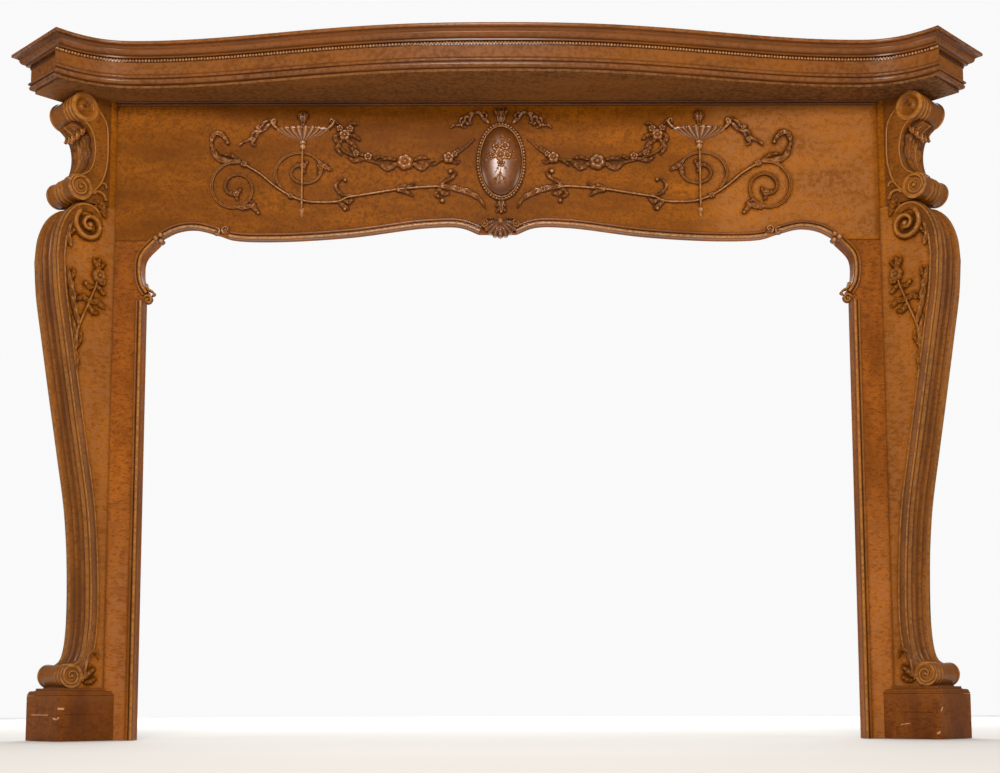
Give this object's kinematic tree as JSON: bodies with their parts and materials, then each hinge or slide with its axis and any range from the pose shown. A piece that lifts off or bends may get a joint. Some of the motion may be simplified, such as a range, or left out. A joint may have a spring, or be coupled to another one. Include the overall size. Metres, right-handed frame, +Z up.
{
  "type": "fireplace mantel",
  "caption": "Fireplace mantel: bowed moulded shelf on scroll corbels and two canted cabriole legs, carved frieze over an opening between flat jambs.",
  "frame": {"origin": "middle of the footprint, on the floor", "axes": "+X to the right as seen from the room, +Y into the wall, +Z up"},
  "size_m": [2.1706, 0.245, 1.5206],
  "materials": {
    "shelf": "varnished maple, glossy",
    "soffit": "plain stained board",
    "panel": "varnished bird's-eye maple",
    "jamb": "varnished reddish maple",
    "carving": "carved and varnished maple"
  },
  "bodies": {
    "root": {"mantelshelf": "shelf", "pearl_strip": "shelf", "cornice_fascia": "shelf", "bed_moulding": "shelf", "plinth_cap_left": "shelf", "plinth_cap_right": "shelf", "plinth_left": "shelf", "plinth_right": "shelf", "soffit_board": "soffit", "frieze_panel": "panel", "leg_left": "panel", "leg_right": "panel", "jamb_panel_left": "jamb", "jamb_panel_right": "jamb", "frieze_bead": "carving", "shell": "carving", "medallion_boss": "carving", "medallion_pearls": "carving", "crest": "carving", "pendant": "carving", "ribbon_left": "carving", "ribbon_right": "carving", "garland_left": "carving", "garland_right": "carving", "torch_and_rinceau_left": "carving", "torch_and_rinceau_right": "carving", "jamb_moulding_left": "carving", "jamb_moulding_right": "carving", "arch_moulding_left": "carving", "arch_moulding_right": "carving", "sweep_moulding_left": "carving", "sweep_moulding_right": "carving", "corbel_left": "carving", "corbel_right": "carving"}
  },
  "joints": []
}
